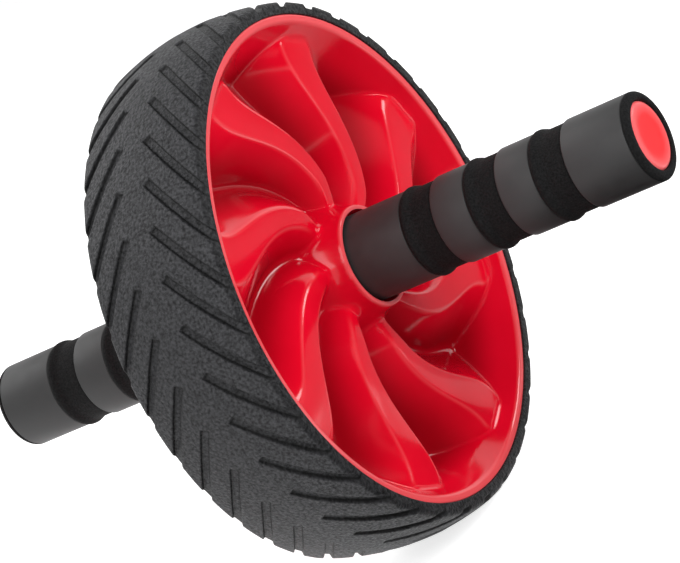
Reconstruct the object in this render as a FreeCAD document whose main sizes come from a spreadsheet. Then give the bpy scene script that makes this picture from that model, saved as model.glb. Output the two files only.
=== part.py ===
import FreeCAD, Part
import math
import os

import Sketcher

# Exercise wheel with one wide treaded wheel between two foam handles.
# The axle lies along Y with the origin at the wheel's centre; +Z is up.
# The handle at -Y is the right one, the handle at +Y the left one.

doc = FreeCAD.newDocument("ExerciseWheel")
sheet = doc.addObject("Spreadsheet::Sheet", "Sizes")

DRIVING_SIZES = {
    # Tread: a crowned rubber tyre with slanted slots in two mirrored rows
    "wheel_diameter": 200.0,
    "tread_thickness": 8.5,
    "tread_overhang": 0.6,
    "crown_drop": 3.4,
    "shoulder_chamfer": 1.6,
    "slot_count": 36,
    "slot_width": 3.3,
    "slot_depth": 2.2,
    "slot_plain_band": 11.2,
    "slot_slant": 53.0,
    "slot_phase": 2.0,
    # Wheel halves: moulded dishes with swirling blades
    "rim_width": 50.2,
    "rim_wall": 2.8,
    "blade_count": 8,
    "blade_start_angle": 73.0,
    "blade_sweep": 32.0,
    "blade_sweep_end": 80.0,
    "blade_wall": 2.8,
    "crest_depth": 5.5,
    "crest_width_hub": 5.2,
    "crest_width_rim": 18.0,
    "pocket_floor_hub": 10.3,
    "pocket_floor_rim": 3.8,
    "rim_lean": 17.0,
    "rim_lean_wall": 4.2,
    "boss_lip_wall": 1.7,
    "boss_flare": 5.0,
    "boss_wall": 3.0,
    "hub_cup_gap": 1.2,
    "hub_cup_floor_gap": 2.0,
    # Screws that join the halves, driven from the left
    "screw_count": 4,
    "screw_circle_radius": 62.0,
    "screw_diameter": 4.0,
    "screw_length": 14.0,
    "screw_head_diameter": 7.8,
    "screw_head_height": 2.6,
    "screw_seat_height": 4.0,
    "screw_post_diameter": 10.0,
    "screw_hole_gap": 0.1,
    "screw_head_gap": 0.6,
    # Axle and ball bearings
    "axle_diameter": 12.0,
    "bearing_diameter": 28.0,
    "bearing_width": 8.0,
    "bearing_gap": 16.0,
    "bearing_lip": 2.5,
    "inner_ring_wall": 2.4,
    "outer_ring_wall": 2.4,
    "ball_diameter": 4.76,
    "ball_count": 8,
    "race_gap": 0.12,
    "spacer_wall": 2.0,
    "thrust_washer_rim": 0.6,
    "thrust_washer_thickness": 1.5,
    "fit_gap": 0.03,
    # Handle cores and the bolts that hold them on the axle
    "core_wall": 2.5,
    "core_end_wall": 5.0,
    "core_tip_gap": 0.4,
    "core_socket_depth": 10.6,
    "bolt_diameter": 6.0,
    "bolt_length": 20.0,
    "bolt_head_diameter": 10.5,
    "bolt_head_height": 3.6,
    "bolt_hole_gap": 0.3,
    "tapped_spare": 4.6,
    "bolt_washer_gap": 1.0,
    "bolt_washer_thickness": 1.2,
    # Foam sleeves, grey bands and end caps
    "grip_inset": 4.1,
    "grip_diameter": 32.2,
    "band_thickness": 2.6,
    "band_chamfer": 0.5,
    "foam_wall": 2.0,
    "foam_step": 0.7,
    "bead_rise": 0.5,
    "bead_length": 3.0,
    "bead_chamfer": 0.8,
    "hub_band_length": 27.6,
    "middle_band_length": 14.2,
    "end_band_length": 24.2,
    "foam_gap_length": 13.0,
    "end_ring_rise": 0.2,
    "end_ring_wall": 3.7,
    "end_ring_length": 2.4,
    "end_ring_chamfer": 1.2,
    "cap_dome": 0.9,
    "cap_recess": 0.2,
    "cap_flange": 1.5,
    "cap_plug_length": 4.5,
    "cap_plug_wall": 2.0,
    "cap_gap": 0.1,
}

for row, (alias, value) in enumerate(DRIVING_SIZES.items(), 1):
    sheet.set(f"A{row}", alias.replace("_", " "))
    sheet.set(f"B{row}", str(value))
    sheet.setAlias(f"B{row}", alias)
doc.recompute()


def size(alias):
    """Value of a driving size as it stands in the sheet."""
    return float(sheet.get(alias))


def half(alias):
    """Expression for half of a driving size, such as a radius from a diameter."""
    return f"Sizes.{alias} / 2"


# Places along the axle, measured from the wheel's centre, as expressions
RIM_FACE = half("rim_width")
TREAD_EDGE = f"{RIM_FACE} + Sizes.tread_overhang"
POCKET_FOOT = "Sizes.pocket_floor_rim"
BEARING_IN = half("bearing_gap")
BEARING_OUT = f"{BEARING_IN} + Sizes.bearing_width"
CORE_IN = f"{BEARING_OUT} + Sizes.thrust_washer_thickness"
GRIP_IN = f"{RIM_FACE} - Sizes.grip_inset"
CUP_FLOOR = f"{GRIP_IN} - Sizes.hub_cup_floor_gap"
BAND_LENGTHS = ["hub_band_length", "middle_band_length", "middle_band_length", "end_band_length"]

BAND_PLACES = []
reach = GRIP_IN
for length in BAND_LENGTHS:
    start = reach
    stop = f"{start} + Sizes.{length}"
    BAND_PLACES.append((start, stop))
    reach = f"{stop} + Sizes.foam_gap_length"
RING_IN = BAND_PLACES[-1][1]
RING_OUT = f"{RING_IN} + Sizes.end_ring_length"
CAP_TOP = f"{RING_OUT} - Sizes.cap_recess"
CAP_EDGE = f"{CAP_TOP} - Sizes.cap_dome"
CORE_OUT = f"{CAP_EDGE} - Sizes.cap_flange"
CORE_WALL_OUT = f"{CORE_OUT} - Sizes.core_socket_depth"
CORE_WALL_IN = f"{CORE_WALL_OUT} - Sizes.core_end_wall"
AXLE_TIP = f"{CORE_WALL_IN} - Sizes.core_tip_gap"
BOLT_SEAT = f"{CORE_WALL_OUT} + Sizes.bolt_washer_thickness"
BOLT_TIP = f"{BOLT_SEAT} - Sizes.bolt_length"

# Radii, as expressions
RIM = f"({half('wheel_diameter')} - Sizes.tread_thickness)"
RIM_INSIDE = f"({RIM} - Sizes.rim_wall)"
GRIP = half("grip_diameter")
FOAM = f"({GRIP} - Sizes.foam_step)"
BEAD = f"({GRIP} + Sizes.bead_rise)"
RING = f"({GRIP} + Sizes.end_ring_rise)"
SEAT = f"({GRIP} - Sizes.band_thickness)"
CORE = f"({SEAT} - Sizes.foam_wall)"
SOCKET = f"({CORE} - Sizes.core_wall)"
CAP_WELL = f"({RING} - Sizes.end_ring_wall)"
CAP = f"({CAP_WELL} - Sizes.cap_gap)"
HUB_CUP = f"({GRIP} + Sizes.hub_cup_gap)"
BOSS_LIP = f"({HUB_CUP} + Sizes.boss_lip_wall)"
BOSS_BASE = f"({BOSS_LIP} + Sizes.boss_flare)"
AXLE = half("axle_diameter")
BORE = f"({AXLE} + Sizes.fit_gap)"
INNER_RING = f"({AXLE} + Sizes.inner_ring_wall)"
BEARING = half("bearing_diameter")
OUTER_RING_BORE = f"({BEARING} - Sizes.outer_ring_wall)"
BOLT_HOLE = f"({half('bolt_diameter')} + Sizes.bolt_hole_gap)"

RIGHT_TURN = FreeCAD.Placement(FreeCAD.Vector(), FreeCAD.Rotation(FreeCAD.Vector(0, 0, 1), 180))
LEFT_TURN = FreeCAD.Placement()
SIDES = {"right": RIGHT_TURN, "left": LEFT_TURN}
ALONG_AXLE = FreeCAD.Rotation(FreeCAD.Vector(1, 0, 0), -90)

nodes = []


def keep(piece, label):
    """Name a finished piece and put it on the list that is written."""
    piece.Label = label
    nodes.append(piece)
    return piece


# Where an outline's corners lie before the sheet's sizes move them
START_RADIUS = size("tread_thickness")
START_CENTRE = FreeCAD.Vector(size("wheel_diameter"), 0, 0)


def turned(name, outline, bulge=None):
    """Body turned about the axle from a closed outline of (radius, place) expressions.

    With bulge, the side that starts at that corner is an arc whose centre has the given radius.
    """
    body = doc.addObject("PartDesign::Body", name)
    sketch = body.newObject("Sketcher::SketchObject", name + "_outline")
    plane = next(item for item in body.Origin.OriginFeatures if item.Role == "XY_Plane")
    sketch.AttachmentSupport = (plane, [""])
    sketch.MapMode = "FlatFace"
    count = len(outline)
    first_spots = []
    for corner in range(count):
        turn = 2 * math.pi * (corner + 0.5) / count - math.pi
        first_spots.append(START_CENTRE + FreeCAD.Vector(math.cos(turn), math.sin(turn), 0) * START_RADIUS)
    for corner in range(count):
        here = first_spots[corner]
        there = first_spots[(corner + 1) % count]
        if bulge and bulge[0] == corner:
            away = (here + there) * 0.5 - START_CENTRE
            top = START_CENTRE + away.normalize() * START_RADIUS
            sketch.addGeometry(Part.Arc(here, top, there), False)
        else:
            sketch.addGeometry(Part.LineSegment(here, there), False)
    for corner in range(count):
        before = (corner - 1) % count
        sketch.addConstraint(Sketcher.Constraint("Coincident", before, 2, corner, 1))
    for corner, (radius, place) in enumerate(outline):
        first = first_spots[corner]
        for kind, value, expression in (("DistanceX", first.x, radius), ("DistanceY", first.y, place)):
            index = sketch.addConstraint(Sketcher.Constraint(kind, -1, 1, corner, 1, value))
            sketch.setExpression(f"Constraints[{index}]", expression)
    if bulge:
        centre = Sketcher.Constraint("DistanceX", -1, 1, bulge[0], 3, START_CENTRE.x)
        index = sketch.addConstraint(centre)
        sketch.setExpression(f"Constraints[{index}]", bulge[1])
    turning = body.newObject("PartDesign::Revolution", name + "_turn")
    turning.Profile = sketch
    turning.ReferenceAxis = (sketch, ["V_Axis"])
    turning.Angle = 360
    return body


def ring_outline(inner, outer, start, stop):
    """Outline of a plain ring between two radii and two places."""
    return [(inner, start), (outer, start), (outer, stop), (inner, stop)]


def shaped(name, shape):
    """Piece or tool whose shape is worked out from the sheet."""
    piece = doc.addObject("Part::Feature", name)
    piece.Shape = shape
    return piece


def cut(name, base, tool):
    """Piece left when a tool is taken away from a base."""
    piece = doc.addObject("Part::Cut", name)
    piece.Base = base
    piece.Tool = tool
    return piece


def walled_solid(rails):
    """Closed solid with ruled sides between neighbouring rails and flat triangles at the ends."""
    curves = []
    for rail in rails:
        curve = Part.BSplineCurve()
        curve.interpolate(rail)
        curves.append(curve.toShape())
    faces = []
    for near, far in zip(curves, curves[1:] + curves[:1]):
        faces.append(Part.makeRuledSurface(near, far))
    for end in (0, -1):
        corners = [rail[end] for rail in rails]
        for second, third in zip(corners[1:], corners[2:]):
            faces.append(Part.Face(Part.makePolygon([corners[0], second, third, corners[0]])))
    shell = Part.makeShell(faces)
    shell.sewShape()
    solid = Part.makeSolid(shell)
    if solid.Volume < 0:
        solid.reverse()
    return solid


def around(shape, copies, step):
    """Copies of a shape turned about the axle by equal steps, in degrees."""
    pattern = []
    for index in range(copies):
        copy = shape.copy()
        copy.rotate(FreeCAD.Vector(), FreeCAD.Vector(0, 1, 0), index * step)
        pattern.append(copy)
    return pattern


# Axle: a solid steel rod with a tapped hole in each end.
axle_bar = turned("axle_bar", [
    ("0", f"-({AXLE_TIP})"),
    (AXLE, f"-({AXLE_TIP})"),
    (AXLE, AXLE_TIP),
    ("0", AXLE_TIP),
])
tapped_holes = []
for side, turn in SIDES.items():
    hole = turned(f"{side}_tapped_hole", ring_outline(
        "0", f"{half('bolt_diameter')} + Sizes.fit_gap",
        f"{BOLT_TIP} - Sizes.tapped_spare", CORE_WALL_IN))
    hole.Placement = turn
    tapped_holes.append(hole)
both_holes = doc.addObject("Part::Compound", "tapped_holes")
both_holes.Links = tapped_holes
keep(cut("axle", axle_bar, both_holes), "axle_rod")

# Spacer tube that keeps the two bearings' inner rings apart.
keep(turned("spacer", ring_outline(
    BORE, f"{AXLE} + Sizes.spacer_wall", f"-({BEARING_IN})", BEARING_IN)), "bearing_spacer")

# Ball bearings and thrust washers, one set on each side of the wheel.
BALL_CIRCLE = f"({INNER_RING} + {OUTER_RING_BORE}) / 2"
for side, turn in SIDES.items():
    race = doc.addObject("Part::Torus", f"{side}_race")
    race.setExpression("Radius1", BALL_CIRCLE)
    race.setExpression("Radius2", f"{half('ball_diameter')} + Sizes.race_gap")
    race.Placement = FreeCAD.Placement(FreeCAD.Vector(), ALONG_AXLE)
    race.setExpression("Placement.Base.y", f"{BEARING_IN} + Sizes.bearing_width / 2")
    inner = turned(f"{side}_inner_blank", ring_outline(
        BORE, INNER_RING, BEARING_IN, BEARING_OUT))
    outer = turned(f"{side}_outer_blank", ring_outline(
        OUTER_RING_BORE, BEARING, BEARING_IN, BEARING_OUT))
    keep(cut(f"{side}_inner_ring", inner, race), f"{side}_bearing_inner_ring").Placement = turn
    keep(cut(f"{side}_outer_ring", outer, race), f"{side}_bearing_outer_ring").Placement = turn
    balls = []
    for index in range(int(size("ball_count"))):
        ball = doc.addObject("Part::Sphere", f"{side}_ball_{index}")
        ball.setExpression("Radius", half("ball_diameter"))
        angle = f"({index} * 360 deg / Sizes.ball_count)"
        ball.setExpression("Placement.Base.x", f"{BALL_CIRCLE} * cos({angle})")
        ball.setExpression("Placement.Base.y", f"{BEARING_IN} + Sizes.bearing_width / 2")
        ball.setExpression("Placement.Base.z", f"{BALL_CIRCLE} * sin({angle})")
        balls.append(ball)
    ball_set = doc.addObject("Part::Compound", f"{side}_balls")
    ball_set.Links = balls
    keep(ball_set, f"{side}_bearing_balls").Placement = turn
    washer = turned(f"{side}_washer", ring_outline(
        BORE, f"{INNER_RING} + Sizes.thrust_washer_rim", BEARING_OUT, CORE_IN))
    keep(washer, f"{side}_thrust_washer").Placement = turn

# Wheel halves: each is a dish with a rim drum, a boss that seats the bearing, and swirling blades.
# A blade is a flat-topped ridge between two V-shaped pockets, and the rim's inside wall leans in.
rim_face = size("rim_width") / 2
wheel_radius = size("wheel_diameter") / 2
rim_inside = wheel_radius - size("tread_thickness") - size("rim_wall")
boss_lip = size("grip_diameter") / 2 + size("hub_cup_gap") + size("boss_lip_wall")
boss_base = boss_lip + size("boss_flare")
pitch = 2 * math.pi / size("blade_count")
RAIL_POINTS = 7


def share(radius):
    """How far out a radius lies, from 0 at the boss to 1 at the rim's inside."""
    return (radius - boss_base) / (rim_inside - boss_base)


def crest_angle(radius):
    """Angle of a blade's crest line, which swings through the sweep on an S-curve."""
    way = (radius - boss_lip) / (size("blade_sweep_end") - boss_lip)
    way = min(max(way, 0.0), 1.0)
    return math.radians(size("blade_start_angle") + size("blade_sweep") * way * way * (3 - 2 * way))


def crest_half_width(radius):
    """Half of the flat crest's width at a radius."""
    gain = max(share(radius), 0.0)
    return (size("crest_width_hub") + (size("crest_width_rim") - size("crest_width_hub")) * gain) / 2


def pocket_floor(radius):
    """Height of a pocket's foot above the wheel's mid-plane at a radius."""
    return size("pocket_floor_hub") + (size("pocket_floor_rim") - size("pocket_floor_hub")) * share(radius)


def spot(radius, angle, place):
    """Point on a wheel half that faces +Y; angles run anticlockwise as seen from outside."""
    return FreeCAD.Vector(-radius * math.cos(angle), place, radius * math.sin(angle))


def spread(start, stop):
    """Evenly spaced radii for a rail."""
    return [start + (stop - start) * step / (RAIL_POINTS - 1) for step in range(RAIL_POINTS)]


def pocket_tool():
    """V-shaped space between two neighbouring blades, open to the front."""
    front = rim_face + size("rim_wall")
    crest = rim_face - size("crest_depth")
    rails = [[], [], [], [], []]
    past_rim = rim_inside / math.cos(pitch / 2) + size("rim_wall")
    for radius in spread(boss_lip - size("boss_wall"), past_rim):
        top = crest_angle(radius) - crest_half_width(radius) / radius
        far = crest_angle(radius) + crest_half_width(radius) / radius - pitch
        floor = pocket_floor(radius)
        rails[0].append(spot(radius, top, front))
        rails[1].append(spot(radius, top, crest))
        rails[2].append(spot(radius, (top + far) / 2, floor))
        rails[3].append(spot(radius, far, crest))
        rails[4].append(spot(radius, far, front))
    return walled_solid(rails)


def core_tool():
    """Hollow behind one blade that leaves an even moulded wall."""
    wall = size("blade_wall")
    back = -wall
    top = rim_face - size("crest_depth") - wall
    rails = [[], [], [], []]
    for radius in spread(boss_base + size("boss_wall"), rim_inside - wall / 2):
        middle = crest_angle(radius)
        flat = crest_half_width(radius) / radius
        foot = pitch / 2 - wall / radius
        rails[0].append(spot(radius, middle - foot, back))
        rails[1].append(spot(radius, middle - flat, top - wall / 2))
        rails[2].append(spot(radius, middle + flat, top - wall / 2))
        rails[3].append(spot(radius, middle + foot, back))
    return walled_solid(rails)


screw_radius = size("screw_circle_radius")
screw_angle = crest_angle(screw_radius) + pitch / 2
screw_step = 360 / size("screw_count")
thread_angle = crest_angle(screw_radius)


def rod(radius, start, stop, angle):
    """Round bar along the axle's direction on the screws' circle."""
    foot = spot(screw_radius, angle, start)
    return Part.makeCylinder(radius, stop - start, foot, FreeCAD.Vector(0, 1, 0))


def screw_rods(radius, start, stop, angle):
    """One such bar for each screw."""
    return around(rod(radius, start, stop, angle), int(size("screw_count")), screw_step)


LEAN_FOOT = f"({RIM_INSIDE} - Sizes.rim_lean)"
dish_blank = turned("dish_blank", [
    (f"{BEARING} - Sizes.bearing_lip", "0"),
    (f"{LEAN_FOOT} + Sizes.rim_lean_wall", "0"),
    (RIM_INSIDE, f"{RIM_FACE} * (1 - Sizes.rim_lean_wall / Sizes.rim_lean)"),
    (RIM_INSIDE, "0"),
    (RIM, "0"),
    (RIM, RIM_FACE),
    (RIM_INSIDE, RIM_FACE),
    (f"{RIM_INSIDE} - Sizes.rim_lean * Sizes.crest_depth / ({RIM_FACE})",
     f"{RIM_FACE} - Sizes.crest_depth"),
    (f"{BOSS_LIP} + Sizes.boss_flare * Sizes.crest_depth / ({RIM_FACE} - {POCKET_FOOT})",
     f"{RIM_FACE} - Sizes.crest_depth"),
    (BOSS_LIP, RIM_FACE),
    (HUB_CUP, RIM_FACE),
    (HUB_CUP, CUP_FLOOR),
    (f"{BEARING} + Sizes.fit_gap", CUP_FLOOR),
    (f"{BEARING} + Sizes.fit_gap", BEARING_IN),
    (f"{BEARING} - Sizes.bearing_lip", BEARING_IN),
])
dish_room = turned("dish_room", [
    (BOSS_LIP, RIM_FACE),
    (BOSS_BASE, POCKET_FOOT),
    (BOSS_BASE, "0"),
    (LEAN_FOOT, "0"),
    (RIM_INSIDE, RIM_FACE),
])
blade_step = 360 / size("blade_count")
pockets = shaped("pockets", Part.makeCompound(around(pocket_tool(), int(size("blade_count")), blade_step)))
pocket_room = doc.addObject("Part::Common", "pocket_room")
pocket_room.Base = dish_room
pocket_room.Tool = pockets
bladed = cut("bladed", dish_blank, pocket_room)

LIFT = size("blade_wall")
post_radius = size("screw_post_diameter") / 2
shank_radius = size("screw_diameter") / 2
hole_radius = shank_radius + size("screw_hole_gap")
head_radius = size("screw_head_diameter") / 2
seat = size("screw_seat_height")
thread_depth = size("screw_length") - seat
cores = Part.makeCompound(around(core_tool(), int(size("blade_count")), blade_step))
SIDE_SCREWS = {"right": thread_angle, "left": screw_angle}
side_tools = {}
for side, angle in SIDE_SCREWS.items():
    posts = Part.makeCompound(screw_rods(post_radius, -LIFT, rim_face, angle))
    hollow = cores.cut(posts)
    if side == "right":
        holes = screw_rods(hole_radius, -LIFT, thread_depth + LIFT, angle)
    else:
        holes = screw_rods(hole_radius, -LIFT, rim_face, angle)
        holes += screw_rods(head_radius + size("screw_head_gap"), seat, rim_face, angle)
    side_tools[side] = shaped(f"{side}_half_tools", Part.makeCompound([hollow] + holes))

# The left half is turned about the axle until its screws meet the right half's thread posts.
left_phase = math.degrees(math.pi - thread_angle - screw_angle)
MEETING_TURN = FreeCAD.Placement(
    FreeCAD.Vector(), FreeCAD.Rotation(FreeCAD.Vector(0, 1, 0), left_phase))
keep(cut("right_half", bladed, side_tools["right"]), "right_wheel_half").Placement = RIGHT_TURN
keep(cut("left_half", bladed, side_tools["left"]), "left_wheel_half").Placement = MEETING_TURN

# Thread-forming screws, heads down in the left half's pockets.
screw_shank = rod(shank_radius, -thread_depth, seat, screw_angle)
screw_head = rod(head_radius, seat, seat + size("screw_head_height"), screw_angle)
screws = around(screw_shank.fuse(screw_head), int(size("screw_count")), screw_step)
keep(shaped("screws", Part.makeCompound(screws)), "wheel_screws").Placement = MEETING_TURN

# Tread: rubber tyre with a rounded crown, cut by slanted slots that run out through the shoulders.
SHOULDER = f"{half('wheel_diameter')} - Sizes.crown_drop"
CROWN_EDGE = f"({TREAD_EDGE} - Sizes.shoulder_chamfer)"
CROWN_RADIUS = f"({CROWN_EDGE} ^ 2 + Sizes.crown_drop ^ 2) / (2 * Sizes.crown_drop)"
tyre = turned("tyre", [
    (RIM, f"-({TREAD_EDGE})"),
    (f"{SHOULDER} - Sizes.shoulder_chamfer", f"-({TREAD_EDGE})"),
    (SHOULDER, f"-({CROWN_EDGE})"),
    (SHOULDER, CROWN_EDGE),
    (f"{SHOULDER} - Sizes.shoulder_chamfer", TREAD_EDGE),
    (RIM, TREAD_EDGE),
], bulge=(2, f"{half('wheel_diameter')} - {CROWN_RADIUS}"))

tread_edge = rim_face + size("tread_overhang")
crown_edge = tread_edge - size("shoulder_chamfer")
crown_radius = (crown_edge ** 2 + size("crown_drop") ** 2) / (2 * size("crown_drop"))
SLOT_POINTS = 3


def crown(place):
    """Radius of the crown at a place across the tread."""
    return wheel_radius - crown_radius + math.sqrt(crown_radius ** 2 - place ** 2)


def slot_tool(mirror):
    """One slanted slot on the side of the tread that mirror, plus or minus one, names."""
    slant = math.tan(math.radians(size("slot_slant"))) / wheel_radius
    spread_angle = size("slot_width") / 2 / math.cos(math.radians(size("slot_slant"))) / wheel_radius
    inner = size("slot_plain_band") / 2
    outer = tread_edge + size("slot_depth")
    rails = [[], [], [], []]
    for step in range(SLOT_POINTS):
        place = inner + (outer - inner) * step / (SLOT_POINTS - 1)
        middle = math.radians(size("slot_phase")) + slant * (place - inner)
        floor = crown(place) - size("slot_depth")
        lip = wheel_radius + size("slot_depth")
        corners = ((floor, -1), (floor, 1), (lip, 1), (lip, -1))
        for rail, (radius, way) in zip(rails, corners):
            angle = middle + way * spread_angle
            rail.append(FreeCAD.Vector(
                radius * math.cos(angle), mirror * place, radius * math.sin(angle)))
    return walled_solid(rails)


slots = []
for mirror in (-1, 1):
    slots += around(slot_tool(mirror), int(size("slot_count")), 360 / size("slot_count"))
keep(cut("slotted_tyre", tyre, shaped("slots", Part.makeCompound(slots))), "tread")

# Handles: a moulded core on the axle, a black foam sleeve with beads, and grey bands in its seats.
def sleeve_outline(side):
    """Outline of a foam sleeve: seats for the bands, and a bead at one end of each bare stretch.

    Both sleeves go on facing the same way, so the beads lie towards the left on both handles.
    """
    outline = [(CORE, GRIP_IN), (SEAT, GRIP_IN)]
    for (_, stop), (next_start, _) in zip(BAND_PLACES, BAND_PLACES[1:]):
        bead_root, bare_end, outward = (stop, next_start, "+") if side == "right" else (next_start, stop, "-")
        bead_end = f"{bead_root} {outward} Sizes.bead_length"
        stretch = [
            (SEAT, bead_root),
            (f"{BEAD} - Sizes.bead_chamfer", bead_root),
            (BEAD, f"{bead_root} {outward} Sizes.bead_chamfer"),
            (BEAD, f"{bead_root} {outward} (Sizes.bead_length - Sizes.bead_chamfer)"),
            (FOAM, bead_end),
            (FOAM, bare_end),
            (SEAT, bare_end),
        ]
        outline += stretch if side == "right" else stretch[::-1]
    outline += [
        (SEAT, RING_IN),
        (RING, RING_IN),
        (RING, f"{RING_OUT} - Sizes.end_ring_chamfer"),
        (f"{RING} - Sizes.end_ring_chamfer", RING_OUT),
        (CAP_WELL, RING_OUT),
        (CAP_WELL, CORE_OUT),
        (CORE, CORE_OUT),
    ]
    return outline


for side, turn in SIDES.items():
    core = turned(f"{side}_core", [
        (BORE, CORE_IN),
        (CORE, CORE_IN),
        (CORE, CORE_OUT),
        (SOCKET, CORE_OUT),
        (SOCKET, CORE_WALL_OUT),
        (BOLT_HOLE, CORE_WALL_OUT),
        (BOLT_HOLE, CORE_WALL_IN),
        (BORE, CORE_WALL_IN),
    ])
    keep(core, f"{side}_handle_core").Placement = turn
    keep(turned(f"{side}_sleeve", sleeve_outline(side)), f"{side}_foam_sleeve").Placement = turn
    for number, (start, stop) in enumerate(BAND_PLACES, 1):
        band = turned(f"{side}_band_{number}", [
            (SEAT, start),
            (f"{GRIP} - Sizes.band_chamfer", start),
            (GRIP, f"{start} + Sizes.band_chamfer"),
            (GRIP, f"{stop} - Sizes.band_chamfer"),
            (f"{GRIP} - Sizes.band_chamfer", stop),
            (SEAT, stop),
        ])
        keep(band, f"{side}_grip_band_{number}").Placement = turn

    bolt_washer = turned(f"{side}_bolt_washer", ring_outline(
        BOLT_HOLE, f"{SOCKET} - Sizes.bolt_washer_gap", CORE_WALL_OUT, BOLT_SEAT))
    keep(bolt_washer, f"{side}_handle_washer").Placement = turn
    bolt = turned(f"{side}_bolt", [
        ("0", BOLT_TIP),
        (half("bolt_diameter"), BOLT_TIP),
        (half("bolt_diameter"), BOLT_SEAT),
        (half("bolt_head_diameter"), BOLT_SEAT),
        (half("bolt_head_diameter"), f"{BOLT_SEAT} + Sizes.bolt_head_height"),
        ("0", f"{BOLT_SEAT} + Sizes.bolt_head_height"),
    ])
    keep(bolt, f"{side}_handle_bolt").Placement = turn

    # End cap: a domed disc with a hollow plug that pushes into the core's socket.
    PLUG = f"{SOCKET} - Sizes.cap_gap"
    PLUG_TIP = f"{CORE_OUT} - Sizes.cap_plug_length"
    cap = turned(f"{side}_cap", [
        ("0", CORE_OUT),
        (f"{PLUG} - Sizes.cap_plug_wall", CORE_OUT),
        (f"{PLUG} - Sizes.cap_plug_wall", PLUG_TIP),
        (PLUG, PLUG_TIP),
        (PLUG, CORE_OUT),
        (CAP, CORE_OUT),
        (CAP, CAP_EDGE),
        (f"{CAP} - Sizes.cap_dome", f"{CAP_EDGE} + Sizes.cap_dome / 2"),
        (f"{CAP} / 2", CAP_TOP),
        ("0", CAP_TOP),
    ])
    keep(cap, f"{side}_end_cap").Placement = turn

doc.recompute()

faults = [item.Name for item in doc.Objects if "Invalid" in item.State or "Error" in item.State]
for piece in nodes:
    if piece.Shape.isNull() or not piece.Shape.isValid():
        faults.append(piece.Label)
if faults:
    raise SystemExit("not built: " + ", ".join(faults))

os.makedirs("parts", exist_ok=True)
for piece in nodes:
    piece.Shape.exportStep(os.path.join("parts", piece.Label + ".step"))
    box = piece.Shape.BoundBox
    print(f"{piece.Label}: {len(piece.Shape.Solids)} solids, {piece.Shape.Volume:.0f} mm3,",
          f"{box.XLength:.1f} x {box.YLength:.1f} x {box.ZLength:.1f} mm")
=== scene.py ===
import math

import bmesh
import bpy
from mathutils import Matrix, Quaternion, Vector, noise
from mathutils.bvhtree import BVHTree


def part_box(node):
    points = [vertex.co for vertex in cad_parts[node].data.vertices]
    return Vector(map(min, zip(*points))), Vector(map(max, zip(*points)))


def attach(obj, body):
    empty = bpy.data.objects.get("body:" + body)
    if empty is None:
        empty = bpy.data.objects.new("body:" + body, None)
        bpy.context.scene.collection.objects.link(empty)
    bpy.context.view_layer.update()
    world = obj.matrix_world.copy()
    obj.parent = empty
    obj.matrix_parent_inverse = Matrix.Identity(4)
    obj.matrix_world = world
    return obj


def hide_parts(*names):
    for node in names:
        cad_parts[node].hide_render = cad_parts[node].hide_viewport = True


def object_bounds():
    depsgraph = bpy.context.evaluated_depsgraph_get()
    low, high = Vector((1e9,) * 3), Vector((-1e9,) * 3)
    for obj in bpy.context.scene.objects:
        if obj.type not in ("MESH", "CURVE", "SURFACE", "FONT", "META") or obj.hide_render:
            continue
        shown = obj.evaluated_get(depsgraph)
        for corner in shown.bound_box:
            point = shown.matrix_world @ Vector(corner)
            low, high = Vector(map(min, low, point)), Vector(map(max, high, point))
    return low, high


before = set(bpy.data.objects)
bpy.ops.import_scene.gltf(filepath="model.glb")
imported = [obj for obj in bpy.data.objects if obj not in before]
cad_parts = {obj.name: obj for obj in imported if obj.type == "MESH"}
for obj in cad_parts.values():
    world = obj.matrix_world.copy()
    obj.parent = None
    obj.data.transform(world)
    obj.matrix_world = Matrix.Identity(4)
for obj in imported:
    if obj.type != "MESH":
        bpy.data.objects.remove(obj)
cad_low, cad_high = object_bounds()


# Axle rod, bearing spacer, thrust washers, and the bolts and washers under the end caps:
# turned and pressed mild steel with a dull zinc plating. The bolts screw into the ends of
# the rod and hold both handles on it.
ZINC_DARK = (0.50, 0.50, 0.52)
ZINC_LIGHT = (0.68, 0.68, 0.70)
ZINC_WAVES = 180.0
ZINC_DETAIL = 4.0
ZINC_ROUGHNESS = (0.42, 0.28)
NOISE_LOW = 0.3
NOISE_HIGH = 0.7
SIDES = ("right", "left")


def new_finish(name):
    """A material with a plain shader: the material, its nodes, its links and the shader."""
    finish = bpy.data.materials.new(name)
    finish.use_nodes = True
    nodes = finish.node_tree.nodes
    return finish, nodes, finish.node_tree.links, nodes["Principled BSDF"]


def grain_of(nodes, links, waves, detail=3.0):
    """Noise on the piece's own coordinates, with so many waves to a metre."""
    place = nodes.new("ShaderNodeTexCoord")
    grain = nodes.new("ShaderNodeTexNoise")
    grain.inputs["Scale"].default_value = waves
    grain.inputs["Detail"].default_value = detail
    links.new(place.outputs["Object"], grain.inputs["Vector"])
    return grain.outputs["Fac"]


def toned(nodes, links, amount, dark, light):
    """Colour that goes from dark to light with a noise."""
    ramp = nodes.new("ShaderNodeValToRGB")
    ramp.color_ramp.elements[0].position = NOISE_LOW
    ramp.color_ramp.elements[0].color = (*dark, 1.0)
    ramp.color_ramp.elements[1].position = NOISE_HIGH
    ramp.color_ramp.elements[1].color = (*light, 1.0)
    links.new(amount, ramp.inputs["Fac"])
    return ramp.outputs["Color"]


def spanned(nodes, links, amount, start, end, low=0.0, high=1.0, curve="LINEAR"):
    """Number that goes from low to high as an amount goes from start to end."""
    span = nodes.new("ShaderNodeMapRange")
    span.interpolation_type = curve
    span.inputs["From Min"].default_value = start
    span.inputs["From Max"].default_value = end
    span.inputs["To Min"].default_value = low
    span.inputs["To Max"].default_value = high
    links.new(amount, span.inputs["Value"])
    return span.outputs["Result"]


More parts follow.
